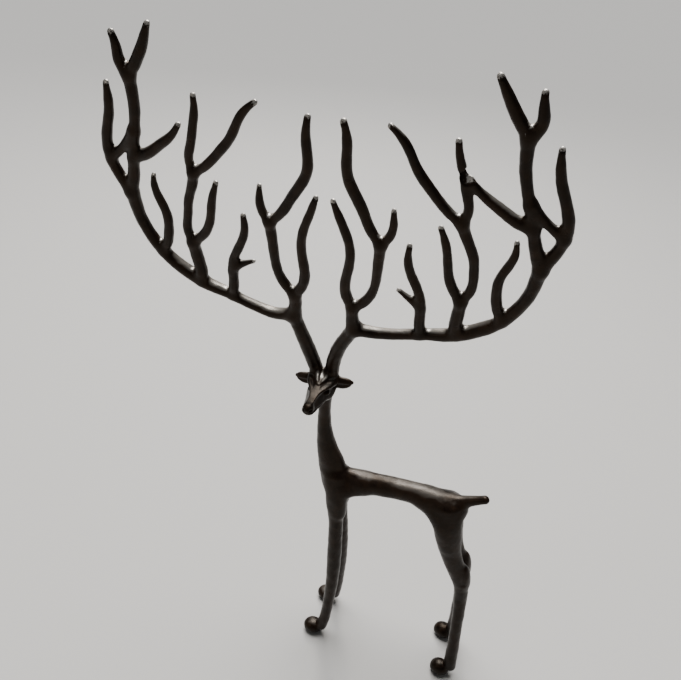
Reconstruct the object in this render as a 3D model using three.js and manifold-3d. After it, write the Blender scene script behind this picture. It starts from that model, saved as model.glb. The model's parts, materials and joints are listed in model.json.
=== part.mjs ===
// A tall slender stag cast in one piece, with a very wide pair of branching antlers.
// It stands along X with its tail towards +X, and its head is turned to face -Y.
// Millimetres, +Z up, origin on the ground under the middle of the whole figure.
import * as THREE from "three";
import { mergeVertices } from "three/addons/utils/BufferGeometryUtils.js";
import Module from "manifold-3d";

const wasm = await Module();
wasm.setup();

// Stance: where the middle of the four feet stands, and how far apart the feet of a pair are.
const FEET = { x: 75.5, y: 25 };
const TRACK = 44;
const SHOULDER_TRACK = 15; // the legs start closer together than they end
const HIP_TRACK = 16.5;
const FRONT_SPLAY = 240; // the height below which a pair of legs leans apart
const HIND_SPLAY = 125;
const FAR_FRONT_SHIFT = { top: -3, foot: 3 }; // the far legs stand a little further in
const FAR_HIND_SHIFT = { top: 0, foot: -3 };

// Antlers: the curved sheet that the two share leans forward as it rises.
const ANTLER = { x: -15.5, y: -3, z: 435 }; // between the two crowns
const LEAN_LOW = 0.27;
const LEAN_HIGH = 0.25;

// Colour of the dark bronze paint.
const BRONZE = new THREE.Color(0x1d1613);

const ACROSS = new THREE.Vector3(0, 1, 0); // the body's own sideways direction

// Each limb is a chain of stations: x, y, z of its middle, and its two widths,
// along the limb's own bend plane and across it.
const at = (x, y, z, deep, wide = deep) => ({ p: new THREE.Vector3(x, y, z), deep, wide });

// Body, seen from the side, with x and y measured from the middle of the feet.
const TORSO = [
  at(-78, 0, 236, 27, 20),
  at(-62, 0, 238, 30, 23),
  at(-38, 0, 243.5, 24, 20.5),
  at(-8, 0, 247, 21.5, 19.5),
  at(16, 0, 246.8, 24, 21),
  at(36, 0, 243.5, 29, 25),
  at(48, 0, 241, 24, 20),
];
const NECK = [
  at(-73, 0, 238, 32, 22),
  at(-79.5, 0, 260, 26.5, 18.5),
  at(-85.4, 0, 278, 19.4, 15.5),
  at(-88.7, -0.5, 296, 14.8, 13.2),
  at(-90.3, -2, 320, 11.4, 11.4),
  at(-90, -5, 344, 12, 12.5),
  at(-90.5, -9, 360, 16, 16),
];
const TAIL = [at(40, 0, 250, 15, 12), at(52, 0, 256, 12, 9.5), at(64, 0, 262.5, 8.4, 7.6)];
const FRONT_LEG = [
  at(-71, 0, 236, 24, 14),
  at(-69.3, 0, 214, 19.5, 15),
  at(-66.4, 0, 190, 15, 13.4),
  at(-62.8, 0, 135, 15, 13),
  at(-61.3, 0, 95, 13.4, 12),
  at(-62, 0, 56, 12, 11),
  at(-63.4, 0, 30, 12, 11.4),
  at(-66, 0, 13, 13, 12),
];
const HIND_LEG = [
  at(38, 0, 240, 31, 16),
  at(43, 0, 213, 26, 17),
  at(48.7, 0, 192, 21.5, 15.5),
  at(54.5, 0, 177, 20, 14.5),
  at(64.5, 0, 157, 19.2, 13.5),
  at(69.5, 0, 141, 15.2, 12.2),
  at(72.5, 0, 123, 13.6, 11.5),
  at(75.2, 0, 101, 12.4, 11),
  at(77.7, 0, 75, 12.2, 11),
  at(80.6, 0, 46, 12.8, 11.5),
  at(83, 0, 15, 14, 12.5),
];
// A hoof is a rounded shoe, from heel to toe, cut flat by the ground.
const HOOF_HEIGHT = 6;
const HOOF = [
  at(6, 0, HOOF_HEIGHT + 1, 12, 12),
  at(1, 0, HOOF_HEIGHT + 2, 17.5, 17),
  at(-3, 0, HOOF_HEIGHT + 1.5, 17, 17),
  at(-6, 0, HOOF_HEIGHT, 12.5, 15.5),
];
const HOOF_AHEAD = 9.5; // from the leg's foot forward to the middle of the hoof

// Head, seen along the way it faces: from the back of the skull to the nose.
const HEAD = { x: -90.5, y: -11, z: 365 };
const SKULL = [
  at(0, 4, 0, 17, 17),
  at(0, -3, 0, 22, 23),
  at(-0.3, -12, 0, 21, 25),
  at(-0.9, -23, -1, 16.5, 18.5),
  at(-1.4, -31, -1.3, 12.5, 14),
  at(-1.8, -36.5, -1.2, 10.5, 12.5),
];
// The ears stick out level, and the one on the +X side stands higher.
const EAR = { out: 8, tip: 24, y: -2, root: 1.6, lift: 3, tilt: 3.3, deep: 9.6, thick: 5 };

// The antler's stem and main beam, as distances out from the middle and heights above the ground.
const PEDICLE = {
  root: [6, 372],
  tip: [24, 435],
  bend: [0.035],
  skew: [0, 0, -0.03],
  widths: [12, 11.5, 10.5],
};
const BEAM = [[24, 435], [43, 434.5], [72, 443], [101, 453.5], [124, 472.5], [136, 499], [138, 521.5]];
const BEAM_WIDTHS = [10.5, 9, 8.4, 10.6, 9.4, 8.6, 9.5];
const BEAM_DROP = 2.2; // the beam on the -X side hangs this much lower, the other one higher

// Every tine leaves its parent at a share of the parent's length and ends at a tip. Bend holds
// how far it swings sideways in one, two, three and four half waves, as shares of its length.
// Skew is how much further out and up the tip on the -X side lies, and how much more that tine
// swings in one half wave, than the mean of the two sides. Widths run from the root to the tip.
const TINES = [
  { name: "crown", from: "pedicle", tip: [22, 456], bend: [0.04], widths: [11.5, 10, 9] },
  {
    name: "middle", from: "crown", tip: [5, 547], widths: [8.4, 7, 5.6],
    bend: [-0.022, 0.038, 0.017], skew: [-1.5, 0, 0.0135],
  },
  {
    name: "forkStem", from: "crown", tip: [38, 518], widths: [8, 6.8, 8],
    bend: [-0.106, -0.026, -0.004], skew: [-1, 0, 0.011],
  },
  {
    name: "forkSpike", from: "forkStem", tip: [44, 548], widths: [6.5, 6, 5],
    bend: [-0.12, -0.012], skew: [-2, -0.5, 0.008],
  },
  {
    name: "forkTine", from: "forkStem", tip: [9.5, 599.5], widths: [7, 7.4, 5.8],
    bend: [0.1, 0, -0.005, 0.012], skew: [-2.5, -0.5, 0.02],
  },
  {
    name: "second", from: "beam", share: 0.31, tip: [56, 523.5], widths: [8.5, 7, 5.6],
    bend: [-0.016, -0.022, 0.017], skew: [-1, -1.5, 0],
  },
  {
    name: "secondSpur", from: "second", share: 0.33, tip: [51, 483.5], widths: [6, 5.4, 4.4],
    bend: [-0.03], skew: [-1, -1.5, -0.03],
  },
  {
    name: "thirdStem", from: "beam", share: 0.47, tip: [97, 485.5], widths: [10.5, 9.2, 9],
    bend: [0.026, 0.012], skew: [1, 0.5, 0],
  },
  {
    name: "thirdFork", from: "thirdStem", tip: [87, 545.5], widths: [7, 6.4, 7.5],
    bend: [-0.101, -0.022, -0.006, -0.008], skew: [0, -0.5, 0.031],
  },
  {
    name: "thirdOuter", from: "thirdFork", tip: [76.5, 600], widths: [6.2, 5.8, 5],
    bend: [-0.04, -0.032, -0.009, -0.008], skew: [0.5, 0, 0.015],
  },
  {
    name: "thirdReach", from: "thirdFork", tip: [37.5, 601.5], widths: [6.4, 6.4, 5],
    bend: [0.036, 0.023, -0.007, 0.008],
  },
  {
    name: "thirdInner", from: "thirdStem", tip: [72.5, 543], widths: [7.5, 6.4, 5.2],
    bend: [0.06, 0.029], skew: [-1.5, 0, 0.022],
  },
  {
    name: "fourth", from: "beam", share: 0.69, tip: [118.5, 541.5], widths: [8, 6.6, 5.2],
    bend: [0.09, 0.031, -0.011, 0.008], skew: [-1.5, -1.5, 0],
  },
  {
    name: "top", from: "beam", tip: [114, 604], widths: [9, 6.4, 7.6],
    bend: [0.033, -0.008, 0.007], skew: [3, -1, 0],
  },
  {
    name: "topInner", from: "top", tip: [92.5, 636], widths: [7.4, 6.8, 5.4],
    bend: [0.027], skew: [3.5, 0, 0.012],
  },
  {
    name: "topOuter", from: "top", tip: [117.5, 630.5], widths: [7.2, 6.6, 5.4],
    bend: [-0.106, -0.041], skew: [4.5, -1.5, 0.038],
  },
  {
    name: "outer", from: "beam", tip: [131, 602], widths: [8, 7, 5.4],
    bend: [-0.113, -0.036, 0.007], skew: [3, -3, 0],
  },
  {
    name: "bridge", from: "outer", share: 0.32, tip: [123, 567], widths: [6.4, 5.6, 6.4],
    bend: [0.02], skew: [1, 0, 0],
  },
  {
    name: "crossSpur", from: "top", share: 0.345, tip: [87, 578], widths: [8, 7, 5],
    bend: [0.068, 0, 0.01], skew: [2, 1, 0.006],
  },
];

// How finely the faceted solid is divided.
const STEP = 15;
const BODY_STEP = 16;
const HEAD_STEP = 6;
const EAR_STEP = 4;
const SIDES_THICK = 12;
const SIDES_THIN = 8;
const DOME_RINGS = 2;
const NEAR_DOME = { reach: 0.8, shoulder: 0.55 }; // in half widths, at the end inside the body
const COURSE_POINTS = 9;

// A closed tube along a curve, with an oval section that changes on the way. Its far end is
// domed, and its near end too unless it is flat. The section is widest along side or across it.
function limb(stations, side, sides, step = STEP, domed = true) {
  const curve = new THREE.CatmullRomCurve3(stations.map((s) => s.p), false, "centripetal");
  curve.arcLengthDivisions = 100;
  const rings = Math.max(2, Math.round(curve.getLength() / step));
  const profile = [new THREE.Vector2(0, domed ? -NEAR_DOME.reach : 0)];
  if (domed) profile.push(new THREE.Vector2(Math.SQRT1_2, -NEAR_DOME.shoulder));
  for (let i = 0; i <= rings; i++) profile.push(new THREE.Vector2(1, i / rings));
  for (let i = 1; i <= DOME_RINGS; i++) {
    const a = (i / DOME_RINGS) * (Math.PI / 2);
    profile.push(new THREE.Vector2(i === DOME_RINGS ? 0 : Math.cos(a), 1 + Math.sin(a)));
  }
  const tube = new THREE.LatheGeometry(profile, sides);
  const position = tube.getAttribute("position");
  const v = new THREE.Vector3();
  for (let i = 0; i < position.count; i++) {
    v.fromBufferAttribute(position, i);
    const t = Math.min(1, Math.max(0, v.y));
    const { deep, wide } = widthsAt(stations, curve.getUtoTmapping(t));
    const tangent = curve.getTangentAt(t);
    const across = side.clone().addScaledVector(tangent, -side.dot(tangent)).normalize();
    const inward = across.clone().cross(tangent);
    const place = curve.getPointAt(t)
      .addScaledVector(across, (v.x * wide) / 2)
      .addScaledVector(inward, (v.z * deep) / 2)
      .addScaledVector(tangent, ((v.y - t) * Math.min(deep, wide)) / 2);
    position.setXYZ(i, place.x, place.y, place.z);
  }
  return solid(tube);
}

// The two widths at a place between the stations, eased from each to the next.
function widthsAt(stations, t) {
  const place = t * (stations.length - 1);
  const i = Math.min(stations.length - 2, Math.floor(place));
  const ease = (THREE.MathUtils.smoothstep(place - i, 0, 1) + place - i) / 2;
  return {
    deep: THREE.MathUtils.lerp(stations[i].deep, stations[i + 1].deep, ease),
    wide: THREE.MathUtils.lerp(stations[i].wide, stations[i + 1].wide, ease),
  };
}

// A closed geometry as a solid for joining and cutting, facing outwards.
function solid(geometry) {
  geometry.deleteAttribute("normal");
  geometry.deleteAttribute("uv");
  const merged = mergeVertices(geometry, 1e-4);
  const index = merged.getIndex().array;
  const faces = [];
  for (let i = 0; i < index.length; i += 3) {
    const [a, b, c] = [index[i], index[i + 1], index[i + 2]];
    if (a !== b && b !== c && c !== a) faces.push(a, b, c);
  }
  const vertProperties = merged.getAttribute("position").array;
  const make = () => {
    const triVerts = new Uint32Array(faces);
    return new wasm.Manifold(new wasm.Mesh({ numProp: 3, vertProperties, triVerts }));
  };
  const made = make();
  if (made.volume() > 0) return made;
  faces.reverse();
  return make();
}

// A place on one antler: side is -1 for the one on the -X side, +1 for the other.
function fan(side, [out, height]) {
  const rise = height - ANTLER.z;
  const y = ANTLER.y - rise * (rise > 0 ? LEAN_HIGH : LEAN_LOW);
  return new THREE.Vector3(ANTLER.x + side * out, y, height);
}

// The flat course of a tine, as points of distance out and height.
function course(root, tip, bend) {
  const run = [tip[0] - root[0], tip[1] - root[1]];
  return Array.from({ length: COURSE_POINTS }, (_, i) => {
    const t = i / (COURSE_POINTS - 1);
    const off = bend.reduce((sum, share, k) => sum + share * Math.sin((k + 1) * Math.PI * t), 0);
    return [root[0] + run[0] * t - run[1] * off, root[1] + run[1] * t + run[0] * off];
  });
}

// The place at a share of the length of a flat course.
function along(points, share) {
  const flat = points.map(([out, height]) => new THREE.Vector3(out, height, 0));
  const curve = new THREE.CatmullRomCurve3(flat, false, "centripetal");
  const { x, y } = curve.getPointAt(share);
  return [x, y];
}

// A flat course as a round tube on one antler's sheet.
function tube(side, points, widths) {
  const last = widths.length - 1;
  const stations = points.map((point, i) => {
    const place = (i / (points.length - 1)) * last;
    const j = Math.min(last - 1, Math.floor(place));
    const width = THREE.MathUtils.lerp(widths[j], widths[j + 1], place - j);
    return { p: fan(side, point), deep: width, wide: width };
  });
  return limb(stations, ACROSS, SIDES_THIN, STEP, false);
}

// The rounded end of a tine reaches past its last station by half its width.
function drawnBack(root, tip, reach) {
  const length = Math.hypot(tip[0] - root[0], tip[1] - root[1]);
  return tip.map((value, k) => value - ((value - root[k]) * reach) / length);
}

function antler(side) {
  const forked = new Set(TINES.filter((tine) => tine.share === undefined).map((tine) => tine.from));
  const courses = { beam: BEAM.map(([out, height], i) => [out, height + (i ? side * BEAM_DROP : 0)]) };
  const parts = [tube(side, courses.beam, BEAM_WIDTHS)];
  for (const tine of [{ name: "pedicle", ...PEDICLE }, ...TINES]) {
    const root = tine.root ?? along(courses[tine.from], tine.share ?? 1);
    const [du, dz, dbow] = tine.skew ?? [0, 0, 0];
    const tip = [tine.tip[0] - side * du, tine.tip[1] - side * dz];
    const end = forked.has(tine.name) || tine.name === "bridge"
      ? tip
      : drawnBack(root, tip, tine.widths[tine.widths.length - 1] / 2);
    const [bow, ...rest] = tine.bend ?? [0];
    courses[tine.name] = course(root, end, [bow - side * dbow, ...rest]);
    parts.push(tube(side, courses[tine.name], tine.widths));
  }
  return parts;
}

// A leg in its place: its y leans out to a wider stance below its splay, and its x shifts.
function leg(stations, sign, topTrack, splay, shift) {
  const top = stations[0].p.z;
  return stations.map(({ p, deep, wide }) => {
    const down = (top - p.z) / top;
    const x = p.x + THREE.MathUtils.lerp(shift.top, shift.foot, down);
    const leaning = THREE.MathUtils.clamp((splay - p.z) / (splay - HOOF_HEIGHT), 0, 1);
    const y = (sign * THREE.MathUtils.lerp(topTrack, TRACK, leaning)) / 2;
    return { p: new THREE.Vector3(x, y, p.z), deep, wide };
  });
}

function moved(stations, dx, dy, dz) {
  const by = new THREE.Vector3(dx, dy, dz);
  return stations.map(({ p, deep, wide }) => ({ p: p.clone().add(by), deep, wide }));
}

function legs() {
  const still = { top: 0, foot: 0 };
  const parts = [];
  for (const sign of [-1, 1]) {
    const far = sign > 0;
    const front = leg(FRONT_LEG, sign, SHOULDER_TRACK, FRONT_SPLAY, far ? FAR_FRONT_SHIFT : still);
    const hind = leg(HIND_LEG, sign, HIP_TRACK, HIND_SPLAY, far ? FAR_HIND_SHIFT : still);
    for (const placed of [front, hind]) {
      parts.push(limb(moved(placed, FEET.x, FEET.y, 0), ACROSS, SIDES_THICK, BODY_STEP));
      const foot = placed[placed.length - 1].p;
      const hoof = moved(HOOF, FEET.x + foot.x - HOOF_AHEAD, FEET.y + (sign * TRACK) / 2, 0);
      parts.push(limb(hoof, ACROSS, SIDES_THICK, HEAD_STEP));
    }
  }
  return parts;
}

function head() {
  const place = [FEET.x + HEAD.x, FEET.y + HEAD.y, HEAD.z];
  const parts = [limb(moved(SKULL, ...place), new THREE.Vector3(1, 0, 0), SIDES_THICK, HEAD_STEP)];
  for (const sign of [-1, 1]) {
    const tipHeight = EAR.lift + sign * EAR.tilt;
    const middle = (EAR.root + tipHeight) / 2;
    const stations = [
      at(sign * EAR.out, EAR.y, EAR.root, EAR.deep * 0.8, EAR.thick),
      at((sign * (EAR.out + EAR.tip)) / 2, EAR.y, middle, EAR.deep, EAR.thick),
      at(sign * EAR.tip, EAR.y, tipHeight, EAR.deep * 0.35, EAR.thick * 0.6),
    ];
    parts.push(limb(moved(stations, ...place), ACROSS, SIDES_THIN, EAR_STEP));
  }
  return parts;
}

function trunk() {
  const placed = [TORSO, NECK, TAIL].map((stations) => moved(stations, FEET.x, FEET.y, 0));
  return placed.map((stations) => limb(stations, ACROSS, SIDES_THICK, BODY_STEP));
}

// The ground cuts the soles flat.
function ground() {
  const size = 1000;
  const box = new THREE.BoxGeometry(size, size, size);
  box.translate(0, 0, -size / 2);
  return solid(box);
}

function stag() {
  const parts = [...trunk(), ...legs(), ...head(), ...antler(-1), ...antler(1)];
  const whole = parts.reduce((sum, part) => sum.add(part)).subtract(ground());
  const mesh = whole.getMesh();
  const geometry = new THREE.BufferGeometry();
  geometry.setAttribute("position", new THREE.BufferAttribute(new Float32Array(mesh.vertProperties), 3));
  geometry.setIndex(new THREE.BufferAttribute(new Uint32Array(mesh.triVerts), 1));
  geometry.computeVertexNormals();
  const material = new THREE.MeshStandardMaterial({ color: BRONZE, roughness: 0.45, metalness: 0.3 });
  const piece = new THREE.Mesh(geometry, material);
  piece.name = "stag";
  return piece;
}

const figure = new THREE.Group();
figure.add(stag());

export default figure;
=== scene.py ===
"""The looks of a slender cast stag with a very wide pair of branching antlers.

The whole figure is one casting, so it is one mesh: limbs, antlers and head are forms in space
that melt into each other, and the surface is drawn where they end. Shapes are in millimetres,
and only the finished mesh is in metres.
"""
import json
import math
from concurrent.futures import ThreadPoolExecutor

import bmesh
import bpy
import numpy as np
from mathutils import Matrix, Vector

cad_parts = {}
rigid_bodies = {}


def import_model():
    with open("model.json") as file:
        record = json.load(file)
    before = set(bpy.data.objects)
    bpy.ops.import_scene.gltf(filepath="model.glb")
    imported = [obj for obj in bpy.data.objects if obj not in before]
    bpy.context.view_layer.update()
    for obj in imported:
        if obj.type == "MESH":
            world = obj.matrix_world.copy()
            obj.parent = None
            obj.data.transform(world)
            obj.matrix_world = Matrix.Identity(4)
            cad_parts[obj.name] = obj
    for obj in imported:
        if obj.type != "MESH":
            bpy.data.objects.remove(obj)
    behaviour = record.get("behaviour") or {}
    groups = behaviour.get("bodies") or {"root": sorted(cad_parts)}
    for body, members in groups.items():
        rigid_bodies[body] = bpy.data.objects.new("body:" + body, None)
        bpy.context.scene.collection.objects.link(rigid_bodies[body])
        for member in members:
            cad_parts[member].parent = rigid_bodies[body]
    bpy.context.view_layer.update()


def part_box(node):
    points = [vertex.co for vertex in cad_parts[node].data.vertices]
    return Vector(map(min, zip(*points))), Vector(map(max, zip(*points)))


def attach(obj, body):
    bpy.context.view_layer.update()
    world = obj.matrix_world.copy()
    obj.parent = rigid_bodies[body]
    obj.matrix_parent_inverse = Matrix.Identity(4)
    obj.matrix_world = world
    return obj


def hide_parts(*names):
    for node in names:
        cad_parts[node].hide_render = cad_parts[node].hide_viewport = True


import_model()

MM = 0.001
FAR = 1e3

# The stance: the middle of the four feet, and how far apart they are
FEET = np.array([75.5, 25.0, 0.0])
TRACK = 44.0
SHOULDER_TRACK = 15.0
HIP_TRACK = 16.5
FRONT_SPLAY = 240.0
HIND_SPLAY = 125.0
SOLE_HEIGHT = 6.0
FAR_FRONT_SHIFT = (-3.0, 3.0)
FAR_HIND_SHIFT = (0.0, -3.0)
STILL = (0.0, 0.0)

# Stations along the limbs: x, y, z, and the widths along and across the limb's bend plane
TORSO = [
    (-74, 0, 238, 22, 17),
    (-60, 0, 240, 27, 20),
    (-38, 0, 243.5, 23.5, 20),
    (-8, 0, 247, 21.5, 19.5),
    (16, 0, 246.8, 23.5, 21),
    (36, 0, 243.5, 27.5, 23.5),
    (46, 0, 243, 21, 18),
]
NECK = [
    (-73.5, 0, 236, 29, 19),
    (-79.5, 0, 258, 26, 17.5),
    (-85.4, 0, 278, 19.4, 15.5),
    (-88.7, -0.5, 296, 14.8, 13.2),
    (-90.3, -2, 320, 11.4, 11.4),
    (-90, -5, 344, 12, 12.5),
    (-90.5, -9, 360, 16, 16),
]
TAIL = [(40, 0, 250, 13, 11), (52, 0, 256, 11, 9.5), (60, 0, 260.5, 9, 8.4), (66, 0, 263.8, 8.2, 7.8)]
FRONT_LEG = [
    (-73, 0, 246, 15, 9),
    (-71.5, 0, 232, 19, 12.5),
    (-69.3, 0, 212, 18.5, 14),
    (-66.4, 0, 190, 15, 13.4),
    (-62.8, 0, 135, 15, 13),
    (-61.3, 0, 95, 13.4, 12),
    (-62, 0, 56, 12, 11),
    (-63.4, 0, 30, 12, 11.4),
    (-66, 0, 13, 13, 12),
]
HIND_LEG = [
    (36, 0, 246, 18, 9),
    (39, 0, 234, 25, 13.5),
    (43, 0, 213, 25.5, 16),
    (48.7, 0, 192, 21.5, 15.5),
    (54.5, 0, 177, 19.7, 14.5),
    (64, 0, 157, 18.2, 13.2),
    (69.5, 0, 141, 15, 12.2),
    (72.5, 0, 123, 13.6, 11.5),
    (75.2, 0, 101, 12.4, 11),
    (77.7, 0, 75, 12.2, 11),
    (80.6, 0, 46, 12.8, 11.5),
    (83, 0, 15, 14, 12.5),
]

# The hooves: how far ahead of the leg's end and how high their middles are, and their sizes
HOOF_AHEAD = 9.5
HOOF_MIDDLE = 7.4
HOOF_RADII = (10.8, 8.9)
FRONT_HOOF_HEIGHT = 8.4
HIND_HOOF_HEIGHT = 9.6
HOOF_BLEND = 1.4

# The head, with its own origin in the skull and facing along -Y
HEAD = FEET + np.array([-90.5, -11.0, 365.0])
TO_NOSE = np.array([-1.8, 0.0, 0.0])
EAR_REACH = 25
EAR_TILT = 3.3

# Antlers: distances out from the middle and heights, on a sheet that leans forward
ANTLER = np.array([-15.5, -3.0, 435.0])
LEAN_LOW = 0.27
LEAN_HIGH = 0.25
BEAM = [(24, 435), (43, 434.5), (72, 443), (101, 453.5), (124, 472.5), (136, 499), (138, 521.5)]
BEAM_WIDTHS = [10.5, 9, 8.4, 10.6, 9.4, 8.6, 9.5]
BEAM_DROP = 2.2


def tine(parent, tip, widths, bend=(0,), share=1.0, skew=(0, 0, 0), root=None):
    """A tine from a share of the way along its parent; skew sets the two antlers a little apart."""
    return dict(parent=parent, tip=tip, widths=widths, bend=bend, share=share, skew=skew, root=root)


TINES = {
    "pedicle": tine(None, (24, 435), (12, 11.5, 10.5), (0.035,), skew=(0, 0, -0.03), root=(6, 372)),
    "crown": tine("pedicle", (22, 456), (11.5, 10, 9), (0.04,)),
    "middle": tine("crown", (5, 547), (8.4, 7, 5.6), (-0.022, 0.038, 0.017), skew=(-1.5, 0, 0.0135)),
    "fork_stem": tine("crown", (38, 518), (8, 6.8, 8), (-0.106, -0.026, -0.004), skew=(-1, 0, 0.011)),
    "fork_spike": tine("fork_stem", (44, 548), (6.5, 6, 5), (-0.12, -0.012), skew=(-2, -0.5, 0.008)),
    "fork_tine": tine(
        "fork_stem", (9.5, 599.5), (7, 7.4, 5.8), (0.1, 0, -0.005, 0.012), skew=(-2.5, -0.5, 0.02)
    ),
    "second": tine("beam", (56, 523.5), (8.5, 7, 5.6), (-0.016, -0.022, 0.017), 0.31, (-1, -1.5, 0)),
    "second_spur": tine("second", (51, 483.5), (6, 5.4, 4.4), (-0.03,), 0.33, (-1, -1.5, -0.03)),
    "third_stem": tine("beam", (97, 485.5), (10.5, 9.2, 9), (0.026, 0.012), 0.47, (1, 0.5, 0)),
    "third_fork": tine(
        "third_stem", (87, 545.5), (7, 6.4, 7.5), (-0.101, -0.022, -0.006, -0.008), skew=(0, -0.5, 0.031)
    ),
    "third_outer": tine(
        "third_fork", (76.5, 600), (6.2, 5.8, 5), (-0.04, -0.032, -0.009, -0.008), skew=(0.5, 0, 0.015)
    ),
    "third_reach": tine("third_fork", (37.5, 601.5), (6.4, 6.4, 5), (0.036, 0.023, -0.007, 0.008)),
    "third_inner": tine("third_stem", (72.5, 543), (7.5, 6.4, 5.2), (0.06, 0.029), skew=(-1.5, 0, 0.022)),
    "fourth": tine(
        "beam", (118.5, 541.5), (8, 6.6, 5.2), (0.09, 0.031, -0.011, 0.008), 0.69, (-1.5, -1.5, 0)
    ),
    "top": tine("beam", (114, 604), (9, 6.4, 7.6), (0.033, -0.008, 0.007), skew=(3, -1, 0)),
    "top_inner": tine("top", (92.5, 636), (7.4, 6.8, 5.4), (0.027,), skew=(3.5, 0, 0.012)),
    "top_outer": tine("top", (117.5, 630.5), (7.2, 6.6, 5.4), (-0.106, -0.041), skew=(4.5, -1.5, 0.038)),
    "outer": tine("beam", (131, 602), (8, 7, 5.4), (-0.113, -0.036, 0.007), skew=(3, -3, 0)),
    "bridge": tine("outer", (123, 567), (6.4, 5.6, 6.4), (0.02,), 0.32, (1, 0, 0)),
    "cross_spur": tine("top", (87, 578), (8, 7, 5), (0.068, 0, 0.01), 0.345, (2, 1, 0.006)),
}

# How softly the forms melt into each other, and how the tines narrow at both ends
ANTLER_BLEND = 4.6
NARROW_ROOT = 0.42
ROOT_LENGTH = 5.0
POINTED = 0.3
TIP_LENGTH = 8.0
BODY_BLEND = 6.0
LEG_BLEND = 8.0

# The lattice that the surface is drawn on, and the box round the face, where it is finer
CELL = 0.85
FACE_LOW = HEAD + (-28, -46, -13)
FACE_HIGH = HEAD + (28, 6, 14)
BLOCK = 5
NEAR_BLOCKS = 1.25
REACH = 7.0
MARGIN = 4.0
SHARE = 20000
LEAST_SLOPE = 0.05
MOST_TRIANGLES = 192000

# The box that the soles are cut flat in
SOLES_LOW = (-200, -80, -10)
SOLES_HIGH = (200, 80, 20)
SOLE_EDGE = 0.8

# The paint, the painted light and sheen on the faces that look up, the metal under it, and where the wear
# and the painted highlights are
PAINT_DARK = (0.0030, 0.0018, 0.0014)
PAINT_BROWN = (0.010, 0.0052, 0.0032)
PAINT_WARM = (0.022, 0.0115, 0.006)
PAINTED_TOP_LIGHT = (0.03, 0.025, 0.021)
BARE_METAL_AND_HIGHLIGHT = (0.42, 0.4, 0.37)
PAINTED_TOP_SHEEN = (0.30, 0.285, 0.26)
BODY_PAINTED_SHEEN = 0.64
TIP_REACH = 2.7
CROTCH_REACH = 6.5
CROTCH_LIFT = 7.0
ANTLER_FOOT = ANTLER[2] - 60

# The scales of the patterns in the paint, in waves to a metre
CLOUD_SCALE = 34.0
GLOSS_SCALE = 90.0
BLOTCH_SCALE = 150.0
DIMPLE_SCALE = 210.0
PIT_SCALE = 620.0
SPECKLE_SCALE = 900.0
GRAIN_SCALE = 1500.0
GLOSS_LEVEL = 0.14
GLOSS_TINT = (1, 0.8, 0.62, 1)

# The stage: lights by place, target, width, watts and colour, all in metres
LIGHTS = {
    "key": ((-0.45, 1.55, 1.45), (0, 0, 0.4), 0.6, 22, (1, 0.97, 0.93)),
    "top": ((-0.1, 0.35, 1.7), (0, 0, 0.3), 0.9, 16, (1, 0.98, 0.95)),
    "front": ((-1.2, -1.6, 1.1), (0, 0, 0.3), 0.8, 3, (1, 0.93, 0.84)),
}
SUN_STRENGTH = 5.0
SUN_WIDTH = 45
SUN_TILT = (-18, -10)
SKY_COLOUR = (0.8, 0.85, 0.9, 1)
SKY_STRENGTH = 0.1
FLOOR_COLOUR = (0.42, 0.41, 0.395, 1)
FLOOR_HALF = 12.0

# The photograph's camera: its place in millimetres, its angles in degrees and its frame in pixels
CAMERA_PLACE = FEET + (9.0, -401.4, 700.0)
PITCH = 36
ROLL = 5.65
HEADING = (-0.230, 0.973, 0.0)
FOCAL_LENGTH = 620
FRAME_WIDTH = 681
FRAME_SHIFT = 3.5
SENSOR_WIDTH = 36

ACROSS = np.array([0.0, 1.0, 0.0])
FORWARD = np.array([0.0, -1.0, 0.0])
UP = np.array([0.0, 0.0, 1.0])
SIDEWAYS = np.array([1.0, 0.0, 0.0])
FORMS = []
TIPS = []
CROTCHES = []


# Forms and how they meet

def smooth_min(a, b, k):
    """The lower of two distances, rounded off where they differ by less than k."""
    h = np.maximum(k - np.abs(a - b), 0) / k
    return np.minimum(a, b) - h * h * k / 4


def add(distance, low, high, blend, cut=False):
    """A form: its distance function, its box, and how far it melts into what is there already."""
    FORMS.append((distance, np.min([low, high], 0), np.max([low, high], 0), blend, cut))


def field(points):
    """How far each point lies outside the whole figure, roughly in millimetres."""
    shares = np.array_split(points, max(1, len(points) // SHARE))
    with ThreadPoolExecutor() as pool:
        return np.concatenate(list(pool.map(field_share, shares)))


def field_share(points):
    """The field at one share of the points, from all the forms in their order."""
    total = np.full(len(points), FAR)
    for distance, low, high, blend, cut in FORMS:
        near = np.flatnonzero(np.all((points > low - REACH) & (points < high + REACH), axis=1))
        if not near.size:
            continue
        d = distance(points[near])
        if cut:
            total[near] = -smooth_min(-total[near], d, blend)
        else:
            total[near] = smooth_min(total[near], d, blend)
    return total + unevenness(points) + mouth_line(points)


def unevenness(points):
    """The slight waviness of a hand-made pattern."""
    waves = [((0.31, 0.17, 0.23), 0.0), ((-0.21, 0.37, 0.19), 1.7), ((0.13, -0.29, 0.41), 4.1)]
    fine = [((0.83, 0.61, -0.47), 0.9), ((-0.52, 0.71, 0.94), 2.6)]
    wide_part = sum(0.06 * np.sin((points * w).sum(1) + phase) for w, phase in waves)
    return wide_part + sum(0.025 * np.sin((points * w).sum(1) + phase) for w, phase in fine)


def mouth_line(points):
    """How deep the line of the mouth is pressed in around the muzzle."""
    _, y, z = (points - HEAD).T
    away = (z + 2.8 + 0.06 * (y + 40)) / 0.55
    return 0.65 * np.exp(-(away**2)) * np.clip((-23 - y) / 3, 0, 1) * (y > -48)


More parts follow.
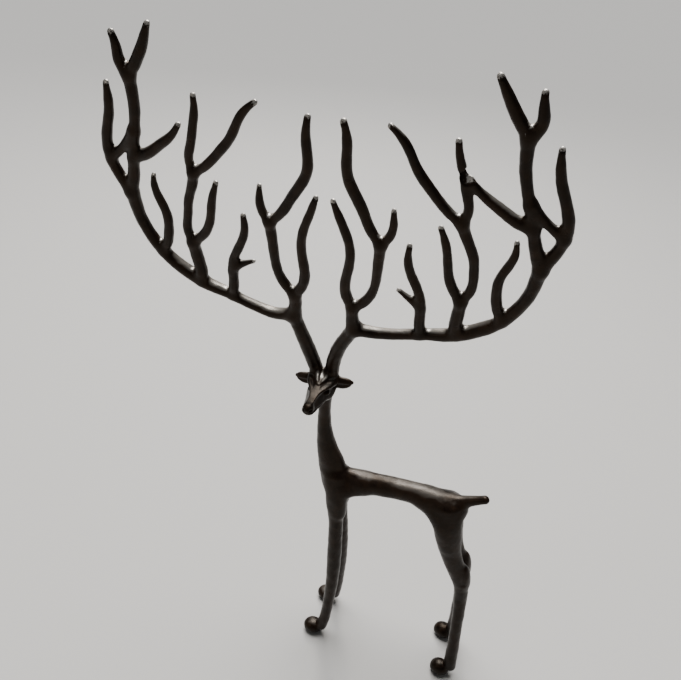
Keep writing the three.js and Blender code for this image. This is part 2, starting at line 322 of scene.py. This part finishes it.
def spline(stations, spacing=1.2):
    """A centripetal Catmull-Rom curve through the stations, widths included."""
    p = np.array(stations, float)
    p = np.vstack([2 * p[0] - p[1], p, 2 * p[-1] - p[-2]])
    gap = np.linalg.norm(np.diff(p[:, :3], axis=0), axis=1) ** 0.5
    rows = []
    for i in range(1, len(p) - 2):
        d0, d1, d2 = gap[i - 1], gap[i], gap[i + 1]
        a, b = p[i], p[i + 1]
        ta = ((a - p[i - 1]) / d0 - (b - p[i - 1]) / (d0 + d1) + (b - a) / d1) * d1
        tb = ((b - a) / d1 - (p[i + 2] - a) / (d1 + d2) + (p[i + 2] - b) / d2) * d1
        steps = max(2, math.ceil(d1 * d1 / spacing))
        t = np.linspace(0, 1, steps, endpoint=False)[:, None]
        rows.append(
            (2 * t**3 - 3 * t**2 + 1) * a + (t**3 - 2 * t**2 + t) * ta
            + (3 * t**2 - 2 * t**3) * b + (t**3 - t**2) * tb
        )
    return np.vstack(rows + [p[-2:-1]])


def limb(path, blend, across=ACROSS, cut=False):
    """A limb along a path of x, y, z and one width, or two where its section is an oval."""
    path = np.asarray(path, float)
    places = path[:, :3]
    along = unit(np.gradient(places, axis=0))
    sides = unit(across - along * (along @ across)[:, None])
    inward = np.cross(sides, along)
    last = len(path) - 1

    def distance(points):
        apart = sum((points[:, k, None] - places[:, k]) ** 2 for k in range(3))
        i = apart.argmin(1)
        i = np.clip(i - (((points - places[i]) * along[i]).sum(1) < 0), 0, last - 1)
        before = ((points - places[i]) * along[i]).sum(1)
        after = ((places[i + 1] - points) * along[i + 1]).sum(1)
        t = np.clip(before / np.maximum(before + after, 1e-6), 0, 1)[:, None]
        here = (1 - t) * path[i] + t * path[i + 1]
        off = points - here[:, :3]
        radii = here[:, 3:] / 2
        if radii.shape[1] == 1:
            return np.sqrt((off**2).sum(1)) - radii[:, 0]
        frames = [(1 - t) * axis[i] + t * axis[i + 1] for axis in (inward, sides, along)]
        parts = np.stack([(off * axis).sum(1) for axis in frames], 1)
        return oval(parts, np.column_stack([radii, radii.min(1)]))

    room = path[:, 3:].max() / 2
    add(distance, places.min(0) - room, places.max(0) + room, blend, cut)


def unit(rows):
    """A vector, or each row of them, at length one."""
    return rows / np.linalg.norm(rows, axis=-1, keepdims=True)


def oval(parts, radii):
    """A near distance to an ellipsoid, from the offsets along its own axes."""
    k0 = np.sqrt(((parts / radii) ** 2).sum(1) + 1e-12)
    k1 = np.sqrt(((parts / radii**2) ** 2).sum(1) + 1e-12)
    return k0 * (k0 - 1) / k1


def ball(centre, radii, blend, turn=None, cut=False):
    """An ellipsoid, turned by a rotation matrix if one is given."""
    centre = np.array(centre, float)
    radii = np.array(radii, float)
    turn = np.eye(3) if turn is None else turn
    own_axes = turn.T

    def distance(points):
        off = points - centre
        return oval(np.stack([(off * axis).sum(1) for axis in own_axes], 1), radii)

    add(distance, centre - radii.max(), centre + radii.max(), blend, cut)


def slab(point, normal, low, high, blend):
    """Cuts away what lies beyond a plane, inside a box."""
    normal = np.array(normal, float)
    normal /= np.linalg.norm(normal)
    add(lambda points: -((points - point) * normal).sum(1), low, high, blend, cut=True)


def turned(axis, degrees):
    """A rotation matrix about one of the main axes."""
    return np.array(Matrix.Rotation(math.radians(degrees), 3, axis))


# Body and legs

def placed_leg(stations, sign, top_track, splay, shift):
    """A leg in its place: it leans out below its splay, and the far legs stand further in."""
    rows = np.array(stations, float)
    down = (rows[0, 2] - rows[:, 2]) / rows[0, 2]
    rows[:, 0] += shift[0] + (shift[1] - shift[0]) * down
    leaning = np.clip((splay - rows[:, 2]) / (splay - SOLE_HEIGHT), 0, 1)
    rows[:, 1] = sign * (top_track + (TRACK - top_track) * leaning) / 2
    rows[:, :3] += FEET
    return rows


def shifted(stations, by):
    """Stations moved bodily, with their widths as they were."""
    rows = np.array(stations, float)
    rows[:, :3] += by
    return rows


def body():
    """The trunk, the neck and the short tail."""
    limb(spline(shifted(TORSO, FEET)), BODY_BLEND)
    limb(spline(shifted(NECK, FEET)), BODY_BLEND)
    limb(spline(shifted(TAIL, FEET)), BODY_BLEND)


def legs():
    """The near pair at -Y and the far pair at +Y, with their hooves."""
    for sign in (-1, 1):
        far = sign > 0
        front_shift = FAR_FRONT_SHIFT if far else STILL
        hind_shift = FAR_HIND_SHIFT if far else STILL
        front = placed_leg(FRONT_LEG, sign, SHOULDER_TRACK, FRONT_SPLAY, front_shift)
        hind = placed_leg(HIND_LEG, sign, HIP_TRACK, HIND_SPLAY, hind_shift)
        for leg in (front, hind):
            limb(spline(leg), LEG_BLEND)
        webs(sign, front, hind)
        hock(sign, hind)
        for leg, height in ((front, FRONT_HOOF_HEIGHT), (hind, HIND_HOOF_HEIGHT)):
            place = (leg[-1, 0] - HOOF_AHEAD, FEET[1] + sign * TRACK / 2, HOOF_MIDDLE)
            ball(place, (*HOOF_RADII, height), HOOF_BLEND)


def webs(sign, front, hind):
    """The skin that rounds the corners between the belly and the legs."""
    out = np.array([0, sign, 0])
    elbow = [(*(front[3, :3] + (3, 0, 12)), 7, 8), (*(front[1, :3] + (9, 0, -4)), 12, 12),
             (*(FEET + (-46, 0, 240) + 2 * out), 14, 14)]
    limb(spline(elbow), 9)
    flank = [(*(hind[3, :3] + (-4, 0, 6)), 8, 9), (*(hind[2, :3] + (-7, 0, 10)), 13, 13),
             (*(FEET + (14, 0, 243) + 2 * out), 14, 14)]
    limb(spline(flank), 9)


def hock(sign, hind):
    """The point of the hock, and the hollow in front of the tendon above it."""
    out = np.array([0, sign, 0])
    heel = hind[5, :3]
    ball(heel + (6.4, 0, 1.5), (4.0, 5.0, 13.0), 7.0, turned("Y", -10))
    hollow = [heel + (-1, 0, 22), heel + (3.4, 0, 9), heel + (6, 0, -5)]
    half = [hind[4, 4] / 2 + 2.1, hind[5, 4] / 2 + 1.8, hind[6, 4] / 2 + 2.2]
    path = [(*(p + h * out), 3.6) for p, h in zip(hollow, half)]
    limb(spline(path), 3.0, cut=True)


# Antlers

def on_sheet(side, flat, widths, narrow=0.0, taper=0.0):
    """A flat course of out and height as a path on one antler's sheet, drawn in at its ends."""
    flat = np.asarray(flat, float)
    from_root = np.linalg.norm(flat - flat[0], axis=1)
    from_tip = np.linalg.norm(flat - flat[-1], axis=1)
    rise = flat[:, 1] - ANTLER[2]
    y = ANTLER[1] - rise * np.where(rise > 0, LEAN_HIGH, LEAN_LOW)
    along = np.linspace(0, len(widths) - 1, len(flat))
    width = np.interp(along, range(len(widths)), widths)
    width = width * (1 - narrow * np.exp(-((from_root / ROOT_LENGTH) ** 2)))
    width = width * (1 - taper * np.exp(-((from_tip / TIP_LENGTH) ** 2)))
    return np.column_stack([ANTLER[0] + side * flat[:, 0], y, flat[:, 1], width])


def course(root, tip, bend, points=25):
    """A line from root to tip that swings sideways in half waves."""
    root = np.array(root, float)
    run = np.array(tip, float) - root
    t = np.linspace(0, 1, points)
    off = sum(share * np.sin((k + 1) * math.pi * t) for k, share in enumerate(bend))
    return root + run * t[:, None] + np.outer(off, [-run[1], run[0]])


def at_share(flat, share):
    """The point that lies a share of the way along a flat course."""
    steps = np.linalg.norm(np.diff(flat, axis=0), axis=1)
    length = np.append(0, np.cumsum(steps))
    return [np.interp(share * length[-1], length, flat[:, k]) for k in (0, 1)]


def antler(side):
    """One antler: the long beam, and the tines that spring from it and from each other."""
    forked = {t["parent"] for t in TINES.values() if t["share"] == 1} | {"bridge"}
    beam = [(out, 0, height + (side * BEAM_DROP if i else 0), w, w)
            for i, ((out, height), w) in enumerate(zip(BEAM, BEAM_WIDTHS))]
    beam = spline(beam)
    courses = {"beam": beam[:, [0, 2]]}
    path = on_sheet(side, courses["beam"], [1])
    path[:, 3] = beam[:, 3]
    limb(path, ANTLER_BLEND)
    for name, t in TINES.items():
        root = np.array(t["root"] or at_share(courses[t["parent"]], t["share"]), float)
        tip = np.array(t["tip"], float) - side * np.array(t["skew"][:2])
        if name not in forked:
            tip -= (tip - root) / np.linalg.norm(tip - root) * t["widths"][-1] / 2
        bend = (t["bend"][0] - side * t["skew"][2], *t["bend"][1:])
        courses[name] = course(root, tip, bend)
        if t["parent"] and name != "crown":
            CROTCHES.append(on_sheet(side, [root], [1])[0, :3] + CROTCH_LIFT * UP)
        narrow = NARROW_ROOT if t["parent"] else 0.1
        ends = name not in forked
        path = on_sheet(side, courses[name], t["widths"], narrow, POINTED if ends else 0)
        limb(path, ANTLER_BLEND)
        if ends:
            bevel(path)


def bevel(path):
    """The long slanting face at the end of a tine, turned forward, with the point behind it."""
    axis = unit(path[-1, :3] - path[-3, :3])
    face = unit(FORWARD + 0.3 * UP)
    face = unit(face - axis * (face @ axis))
    normal = unit(0.5 * axis + 0.87 * face)
    side = np.cross(normal, axis)
    turn = np.column_stack([unit(side), unit(np.cross(normal, side)), normal])
    half = path[-1, 3] / 2
    edge = path[-1, :3] + axis * 0.9 * half - face * 0.25 * half
    TIPS.append(path[-1, :3] + axis * half)
    ball(edge + normal * 3, (6, 7, 3), 0.6, turn, cut=True)


# Head

def head():
    """The skull, jaw, face and ears. Places are from the skull's middle, facing -Y."""
    skull = [
        (0, 4, 0.5, 16, 16),
        (0, -4, 0.5, 20, 21.5),
        (-0.4, -12, 0.5, 19.5, 23.5),
        (-0.9, -21, 0, 17, 20),
        (-1.4, -30, -0.6, 13.5, 16),
        (-1.8, -37, -1.2, 11, 13),
    ]
    limb(spline(shifted(skull, HEAD)), 4.0, SIDEWAYS)
    jaw = [(0, 1, -5, 10, 12), (-0.4, -12, -6, 9, 13), (-1, -24, -6, 7, 10.5), (-1.8, -34, -5, 5, 8.5)]
    limb(spline(shifted(jaw, HEAD)), 3.0, SIDEWAYS)
    for side in (-1, 1):
        ball(HEAD + (side * 7.0, -8, -3.6), (4.2, 8.5, 6.4), 4.0)
        cheek_plane(side)
    ball(HEAD + (0, -10.5, 3.8), (9.4, 8.6, 5.4), 2.4)
    for side in (-1, 1):
        brow(side)
    slab(HEAD + (0, -16, 8.4), (0, -0.27, 0.96), HEAD - (14, 44, 14), HEAD + (14, -12, 14), 0.8)
    nose()
    tuft()
    for side in (-1, 1):
        eye(side)
        ear(side)


def cheek_plane(side):
    """The flat side of the muzzle, from the narrow bridge out to the jaw and cheek."""
    bridge, lip, cheek = (np.array(p) * (side, 1, 1) + TO_NOSE * share for p, share in (
        ((1.5, -37, 3.4), 1), ((6.6, -37, -5.5), 1), ((11.6, -9, -4.5), 0)))
    normal = np.cross(cheek - bridge, lip - bridge) * -side
    slab(HEAD + bridge, normal, HEAD - (14, 44, 14), HEAD + (14, -13, 14), 1.2)


def mirrored(rows, side):
    """Rows of the head on one side; the muzzle bends a little towards -X."""
    rows = np.array(rows, float)
    rows[:, 0] *= side
    rows[:, :3] += np.outer(np.clip((-8 - rows[:, 1]) / 29, 0, 1), TO_NOSE)
    return shifted(rows, HEAD)


def brow(side):
    """The shelf over the eye, which runs in to the bridge of the nose."""
    shelf = [(10.2, -8.5, 5.6, 3.0), (9.2, -13, 6.4, 3.8), (6.8, -17.5, 6.2, 3.4), (4.2, -22, 5.4, 2.6),
             (2.4, -28, 4.6, 1.8), (1.8, -35, 3.0, 1.4)]
    limb(spline(mirrored(shelf, side), 0.6), 1.8)


def nose():
    """The pad with its nostrils, and the lip under it."""
    tip = HEAD + TO_NOSE
    ball(tip + (0, -37.8, -0.2), (4.5, 3.6, 3.6), 2.4)
    ball(tip + (0, -37.6, -4.6), (4.0, 3.6, 2.2), 1.0)
    for side in (-1, 1):
        ball(tip + (side * 3.0, -41.0, -0.4), (1.0, 1.7, 0.9), 0.6, turned("Z", -35 * side), cut=True)


def tuft():
    """Two locks of hair that run down from between the antlers and meet on the brow."""
    for side in (-1, 1):
        lock = [(5.0, -6, 12.4, 2.6), (3.8, -9.5, 11.2, 3.0), (2.6, -13, 9.6, 2.8), (0.7, -17, 7.8, 1.6)]
        limb(spline(mirrored(lock, side), 0.6), 1.2)
        ball(HEAD + (side * 7.2, -7.2, 6.8), (5.2, 4.6, 4.2), 3)


def eye(side):
    """The socket under the brow, and the eye in it."""
    flip = np.array([side, 1, 1])
    ball(HEAD + flip * (11.2, -16.6, 1.4), (3.0, 4.6, 2.5), 1.6, cut=True)
    ball(HEAD + flip * (6.9, -16.4, 1.5), (2.7, 2.9, 2.2), 0.6)


def ear(side):
    """A leaf that stands out level, with a hollow under its upper edge."""
    leaf = [
        (7.5, -1.5, 1.2, 8.5, 6),
        (11, -2.2, 1.2, 10.8, 6.2),
        (16.5, -2.6, 1.6, 11.2, 6.2),
        (20.4, -2.4, 2.1, 9.2, 5.4),
        (22.8, -2.1, 2.4, 6.4, 4.2),
        (24.0, -1.9, 2.5, 3.4, 2.8),
    ]
    hollow = [(11, -6.0, 0.2, 3.6, 2.4), (16, -6.3, 0.4, 5.0, 3.2), (21, -5.4, 1.2, 2, 2)]
    for rows, blend, cut in ((leaf, 2.0, False), (hollow, 0.8, True)):
        rows = np.array(rows, float)
        rows[:, 2] += EAR_TILT * side * rows[:, 0] / EAR_REACH
        limb(spline(mirrored(rows, side), 0.8), blend, cut=cut)


# The surface

def lattice_surface(low, high, cell):
    """Vertices and quads where the field is zero, one vertex to a lattice cell."""
    low = np.asarray(low, float)
    coarse = cell * BLOCK
    counts = np.ceil((np.asarray(high) - low) / coarse).astype(int)
    blocks = np.stack(np.meshgrid(*map(np.arange, counts), indexing="ij"), -1).reshape(-1, 3)
    near = np.abs(field(low + (blocks + 0.5) * coarse)) < coarse * NEAR_BLOCKS
    blocks = blocks[near]
    shape = counts * BLOCK + 1

    def inner(size):
        steps = np.stack(np.meshgrid(*[np.arange(size)] * 3, indexing="ij"), -1).reshape(-1, 3)
        return (blocks[:, None] * BLOCK + steps).reshape(-1, 3)

    corner_keys = np.unique(np.ravel_multi_index(inner(BLOCK + 1).T, shape))
    corners = np.stack(np.unravel_index(corner_keys, shape), 1)
    values = np.full(shape.prod(), FAR, np.float32)
    values[corner_keys] = field(low + corners * cell)

    cells = inner(BLOCK)
    stride = np.array([shape[1] * shape[2], shape[2], 1])
    base = cells @ stride
    corner_steps = np.array([(i, j, k) for i in (0, 1) for j in (0, 1) for k in (0, 1)])
    at = values[base[:, None] + corner_steps @ stride]
    mixed = (at < 0).any(1) & (at >= 0).any(1)
    cells, base, at = cells[mixed], base[mixed], at[mixed]

    sums = np.zeros((len(cells), 3))
    hits = np.zeros(len(cells))
    for i, a in enumerate(corner_steps):
        for j, b in enumerate(corner_steps):
            if j <= i or np.abs(a - b).sum() != 1:
                continue
            cross = (at[:, i] < 0) != (at[:, j] < 0)
            t = at[cross, i] / (at[cross, i] - at[cross, j])
            sums[cross] += a + t[:, None] * (b - a)
            hits[cross] += 1
    vertices = low + (cells + sums / hits[:, None]) * cell

    number = np.full(shape.prod(), -1, np.int32)
    number[base] = np.arange(len(base))
    quads = []
    for axis in range(3):
        b, c = [(1, 2), (2, 0), (0, 1)][axis]
        far = values[base + stride[axis]]
        here = values[base]
        for leaving in (True, False):
            start = base[(here < 0) & (far >= 0) if leaving else (here >= 0) & (far < 0)]
            ring = [start, start - stride[b], start - stride[b] - stride[c], start - stride[c]]
            quads.append(np.stack([number[r] for r in (ring if leaving else ring[::-1])], 1))
    return vertices, np.vstack(quads)


def settle(vertices, rounds=2, step=0.05):
    """Moves each vertex onto the surface, along the field's slope."""
    corners = np.array([(1, -1, -1), (-1, -1, 1), (-1, 1, -1), (1, 1, 1)], float)
    for _ in range(rounds):
        around = np.stack([field(vertices + step * corner) for corner in corners])
        grad = np.tensordot(around, corners, (0, 0)) / (4 * step)
        size = np.maximum((grad**2).sum(1), LEAST_SLOPE)
        move = -(around.mean(0) / size)[:, None] * grad
        vertices = vertices + np.clip(move, -CELL, CELL)
    return vertices


def refine(mesh, low, high):
    """Divides the faces inside a box in four and lays the new vertices on the surface."""
    work = bmesh.new()
    work.from_mesh(mesh)
    inside = [v for v in work.verts if all(low[k] < v.co[k] < high[k] for k in range(3))]
    chosen = set(inside)
    edges = [e for e in work.edges if e.verts[0] in chosen and e.verts[1] in chosen]
    bmesh.ops.subdivide_edges(work, edges=edges, cuts=1, use_grid_fill=True)
    bmesh.ops.triangulate(work, faces=[f for f in work.faces if len(f.verts) > 4])
    work.to_mesh(mesh)
    work.free()
    places = np.empty(len(mesh.vertices) * 3)
    mesh.vertices.foreach_get("co", places)
    places = places.reshape(-1, 3)
    inside = np.all((places > low - CELL) & (places < high + CELL), axis=1)
    places[inside] = settle(places[inside], 3)
    mesh.vertices.foreach_set("co", places.ravel())


def thin_out(piece):
    """Keeps the mesh under its count of triangles, and takes them from the plain stretches."""
    count = sum(len(face.vertices) - 2 for face in piece.data.polygons)
    modifier = piece.modifiers.new("thin_out", "DECIMATE")
    modifier.ratio = min(1, MOST_TRIANGLES / count)
    seen = piece.evaluated_get(bpy.context.evaluated_depsgraph_get())
    piece.data = bpy.data.meshes.new_from_object(seen)
    piece.data.name = piece.name
    piece.modifiers.clear()
    piece.data.shade_smooth()


def casting():
    """The whole figure as one mesh."""
    body()
    legs()
    head()
    antler(-1)
    antler(1)
    slab(np.zeros(3), -UP, SOLES_LOW, SOLES_HIGH, SOLE_EDGE)
    low, high = (np.array(corner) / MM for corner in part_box("stag"))
    vertices, quads = lattice_surface(low - MARGIN, high + MARGIN, CELL)
    vertices = settle(vertices)
    mesh = bpy.data.meshes.new("stag_casting")
    mesh.from_pydata(vertices.tolist(), [], quads.tolist())
    refine(mesh, FACE_LOW, FACE_HIGH)
    for vertex in mesh.vertices:
        vertex.co.z = max(vertex.co.z, 0)
    mesh.transform(Matrix.Scale(MM, 4))
    mesh.validate()
    piece = bpy.data.objects.new("stag_casting", mesh)
    bpy.context.scene.collection.objects.link(piece)
    mesh.shade_smooth()
    thin_out(piece)
    return piece


# Materials

def mark_wear_and_painted_light(piece):
    """Stores at each vertex how rubbed and painted bright it is as a tip or in a fork, and how far it looks
    up, which sets the painted sheen.
    """
    mesh = piece.data
    places = np.empty(len(mesh.vertices) * 3, np.float32)
    normals = np.empty(len(mesh.vertices) * 3, np.float32)
    mesh.vertices.foreach_get("co", places)
    mesh.vertices.foreach_get("normal", normals)
    places = places.reshape(-1, 3) / MM
    up = np.clip(normals.reshape(-1, 3)[:, 2], 0, 1)
    # Tips and forks rubbed to metal, the forks only where they look up: partly wear, partly painted
    # highlight
    tips = nearness(places, TIPS, TIP_REACH)
    crotches = nearness(places, CROTCHES, CROTCH_REACH) * up**1.2
    # A weaker painted sheen on the body than on the antlers
    up *= np.where(places[:, 2] > ANTLER_FOOT, 1, BODY_PAINTED_SHEEN)
    layer = mesh.attributes.new("wear_and_painted_light", "FLOAT_VECTOR", "POINT")
    layer.data.foreach_set("vector", np.column_stack([tips, crotches, up]).astype(np.float32).ravel())


def nearness(places, centres, reach):
    """One beside a centre, falling to nothing further off."""
    closest = np.full(len(places), FAR)
    for centre in centres:
        closest = np.minimum(closest, ((places - centre) ** 2).sum(1))
    return np.exp(-closest / reach**2)


class Nodes:
    """Short ways to add and join the nodes of one material."""

    def __init__(self, name):
        self.material = bpy.data.materials.new(name)
        self.material.use_nodes = True
        self.tree = self.material.node_tree
        self.shader = self.tree.nodes["Principled BSDF"]
        self.coordinates = self.add("ShaderNodeTexCoord").outputs["Object"]

    def add(self, kind, **settings):
        node = self.tree.nodes.new(kind)
        for key, value in settings.items():
            if hasattr(node, key):
                setattr(node, key, value)
            else:
                node.inputs[key.replace("_", " ")].default_value = value
        return node

    def join(self, source, target):
        self.tree.links.new(source, target)

    def noise(self, scale, detail=3.0, roughness=0.55):
        node = self.add("ShaderNodeTexNoise", Scale=scale, Detail=detail, Roughness=roughness)
        self.join(self.coordinates, node.inputs["Vector"])
        return node.outputs["Fac"]

    def span(self, value, low, high, start=0.0, end=1.0):
        node = self.add("ShaderNodeMapRange", From_Min=low, From_Max=high, To_Min=start, To_Max=end)
        self.join(value, node.inputs["Value"])
        return node.outputs["Result"]

    def blend(self, factor, a, b):
        """Goes from colour a to colour b, each a fixed colour or a socket."""
        node = self.add("ShaderNodeMix", data_type="RGBA")
        self.join(factor, node.inputs["Factor"])
        for socket, value in ((node.inputs[6], a), (node.inputs[7], b)):
            if isinstance(value, tuple):
                socket.default_value = (*value, 1)
            else:
                self.join(value, socket)
        return node.outputs[2]

    def maths(self, operation, a, b):
        node = self.add("ShaderNodeMath", operation=operation)
        for socket, value in zip(node.inputs, (a, b)):
            if isinstance(value, float):
                socket.default_value = value
            else:
                self.join(value, socket)
        return node.outputs[0]


def casting_material():
    """Satin bronze-black paint on cast iron, browner in places, rubbed to metal on the edges, with painted
    highlights and a painted sheen on top.
    """
    nodes = Nodes("dark_bronze_iron")
    wear_and_painted_light = nodes.add("ShaderNodeAttribute", attribute_name="wear_and_painted_light")
    parts = nodes.add("ShaderNodeSeparateXYZ")
    nodes.join(wear_and_painted_light.outputs["Vector"], parts.inputs[0])
    tips, crotches, up = parts.outputs

    clouds = nodes.span(nodes.noise(CLOUD_SCALE, 4.0), 0.38, 0.64)
    blotches = nodes.span(nodes.noise(BLOTCH_SCALE, 5.0), 0.45, 0.68)
    grain = nodes.noise(GRAIN_SCALE, 3.0, 0.6)
    pits = nodes.span(nodes.noise(PIT_SCALE, 2.0), 0.62, 0.72)
    speckle = nodes.noise(SPECKLE_SCALE, 4.0, 0.65)

    # Paint, browner in clouds, and paler where it looks up: painted light from above
    paint = nodes.blend(clouds, PAINT_DARK, PAINT_BROWN)
    paint = nodes.blend(nodes.maths("MULTIPLY", blotches, 0.4), paint, PAINT_WARM)
    painted_top_light = nodes.maths("MULTIPLY", nodes.maths("MULTIPLY", up, clouds), 0.3)
    paint = nodes.blend(painted_top_light, paint, PAINTED_TOP_LIGHT)

    # Rubbed tips, forks and edges, the tips and forks partly painted highlights, and the painted sheen on
    # top
    edges = nodes.add("ShaderNodeNewGeometry").outputs["Pointiness"]
    edges = nodes.span(edges, 0.53, 0.6, 0.0, 0.35)
    rubbed_and_highlight = nodes.maths(
        "ADD", nodes.maths("MULTIPLY", tips, 1.1), nodes.maths("MULTIPLY", crotches, 1.6)
    )
    rubbed_and_highlight = nodes.maths("ADD", rubbed_and_highlight, edges)
    rubbed_and_highlight = nodes.maths("ADD", rubbed_and_highlight, nodes.span(speckle, 0.3, 0.7, -0.45, 0.25))
    rubbed_and_highlight = nodes.span(rubbed_and_highlight, 0.35, 0.75)
    # A painted sheen on the faces that look up, standing in for the highlight of the light overhead
    painted_sheen = nodes.maths("ADD", up, nodes.span(clouds, 0.0, 1.0, -0.12, 0.1))
    painted_sheen = nodes.span(painted_sheen, 0.5, 0.95, 0.0, 0.5)
    colour = nodes.blend(rubbed_and_highlight, nodes.blend(painted_sheen, paint, PAINTED_TOP_SHEEN), BARE_METAL_AND_HIGHLIGHT)
    metal = nodes.maths(
        "MAXIMUM", nodes.maths("MULTIPLY", rubbed_and_highlight, 0.85), nodes.maths("MULTIPLY", painted_sheen, 1.3)
    )
    nodes.join(colour, nodes.shader.inputs["Base Color"])
    nodes.join(metal, nodes.shader.inputs["Metallic"])

    # Gloss
    gloss = nodes.span(nodes.noise(GLOSS_SCALE, 4.0), 0.3, 0.7, 0.26, 0.4)
    gloss = nodes.maths("ADD", gloss, nodes.maths("MULTIPLY", pits, 0.15))
    nodes.join(gloss, nodes.shader.inputs["Roughness"])
    nodes.shader.inputs["Specular IOR Level"].default_value = GLOSS_LEVEL
    nodes.shader.inputs["Specular Tint"].default_value = GLOSS_TINT

    # The fine grain of the cast surface
    height = nodes.maths("ADD", nodes.maths("MULTIPLY", grain, 0.35), nodes.maths("MULTIPLY", speckle, 0.3))
    height = nodes.maths("SUBTRACT", height, nodes.maths("MULTIPLY", pits, 0.5))
    dimples = nodes.noise(DIMPLE_SCALE, 2.0)
    height = nodes.maths("ADD", height, nodes.maths("MULTIPLY", dimples, 0.8))
    bump = nodes.add("ShaderNodeBump", Strength=0.5, Distance=0.0003)
    nodes.join(height, bump.inputs["Height"])
    nodes.join(bump.outputs["Normal"], nodes.shader.inputs["Normal"])
    return nodes.material


# Stage, light and camera

def stage():
    """A plain pale floor at the soles."""
    mesh = bpy.data.meshes.new("floor")
    corners = [(x * FLOOR_HALF, y * FLOOR_HALF, 0) for x, y in ((-1, -1), (1, -1), (1, 1), (-1, 1))]
    mesh.from_pydata(corners, [], [(0, 1, 2, 3)])
    floor = bpy.data.objects.new("floor", mesh)
    bpy.context.scene.collection.objects.link(floor)
    material = bpy.data.materials.new("pale_floor")
    material.use_nodes = True
    shader = material.node_tree.nodes["Principled BSDF"]
    shader.inputs["Base Color"].default_value = FLOOR_COLOUR
    shader.inputs["Roughness"].default_value = 0.9
    mesh.materials.append(material)


def light(name, place, target, size, watts, colour):
    """A round soft lamp that faces its target."""
    data = bpy.data.lights.new(name, "AREA")
    data.shape = "DISK"
    data.size = size
    data.energy = watts
    data.color = colour
    lamp = bpy.data.objects.new(name, data)
    lamp.location = place
    lamp.rotation_euler = (Vector(target) - Vector(place)).to_track_quat("-Z", "Y").to_euler()
    bpy.context.scene.collection.objects.link(lamp)


def sun():
    """An even light that keeps the floor pale to its far edge."""
    data = bpy.data.lights.new("sun", "SUN")
    data.energy = SUN_STRENGTH
    data.angle = math.radians(SUN_WIDTH)
    lamp = bpy.data.objects.new("sun", data)
    lamp.rotation_euler = (math.radians(SUN_TILT[0]), math.radians(SUN_TILT[1]), 0)
    bpy.context.scene.collection.objects.link(lamp)


def sky():
    """A faint even light from all around."""
    world = bpy.data.worlds.new("world")
    world.use_nodes = True
    background = world.node_tree.nodes["Background"]
    background.inputs["Color"].default_value = SKY_COLOUR
    background.inputs["Strength"].default_value = SKY_STRENGTH
    bpy.context.scene.world = world


def camera():
    """The photograph's view: from above, turned a little and tipped a little sideways."""
    pitch = math.radians(PITCH)
    roll = math.radians(ROLL)
    heading = unit(np.array(HEADING))
    level_right = np.array([heading[1], -heading[0], 0.0])
    forward = math.cos(pitch) * heading - math.sin(pitch) * UP
    level_up = np.cross(level_right, forward)
    right = math.cos(roll) * level_right + math.sin(roll) * level_up
    up = np.cross(right, forward)
    data = bpy.data.cameras.new("camera")
    data.sensor_width = SENSOR_WIDTH
    data.lens = SENSOR_WIDTH * FOCAL_LENGTH / FRAME_WIDTH
    data.shift_x = FRAME_SHIFT / FRAME_WIDTH
    view = bpy.data.objects.new("camera", data)
    rows = [(right[k], up[k], -forward[k], CAMERA_PLACE[k] * MM) for k in range(3)]
    view.matrix_world = Matrix(rows + [(0, 0, 0, 1)])
    bpy.context.scene.collection.objects.link(view)
    bpy.context.scene.camera = view


camera()
stage()
for name, settings in LIGHTS.items():
    light(name, *settings)
sun()
sky()

figure = casting()
mark_wear_and_painted_light(figure)
figure.data.materials.append(casting_material())
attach(figure, "root")
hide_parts("stag")
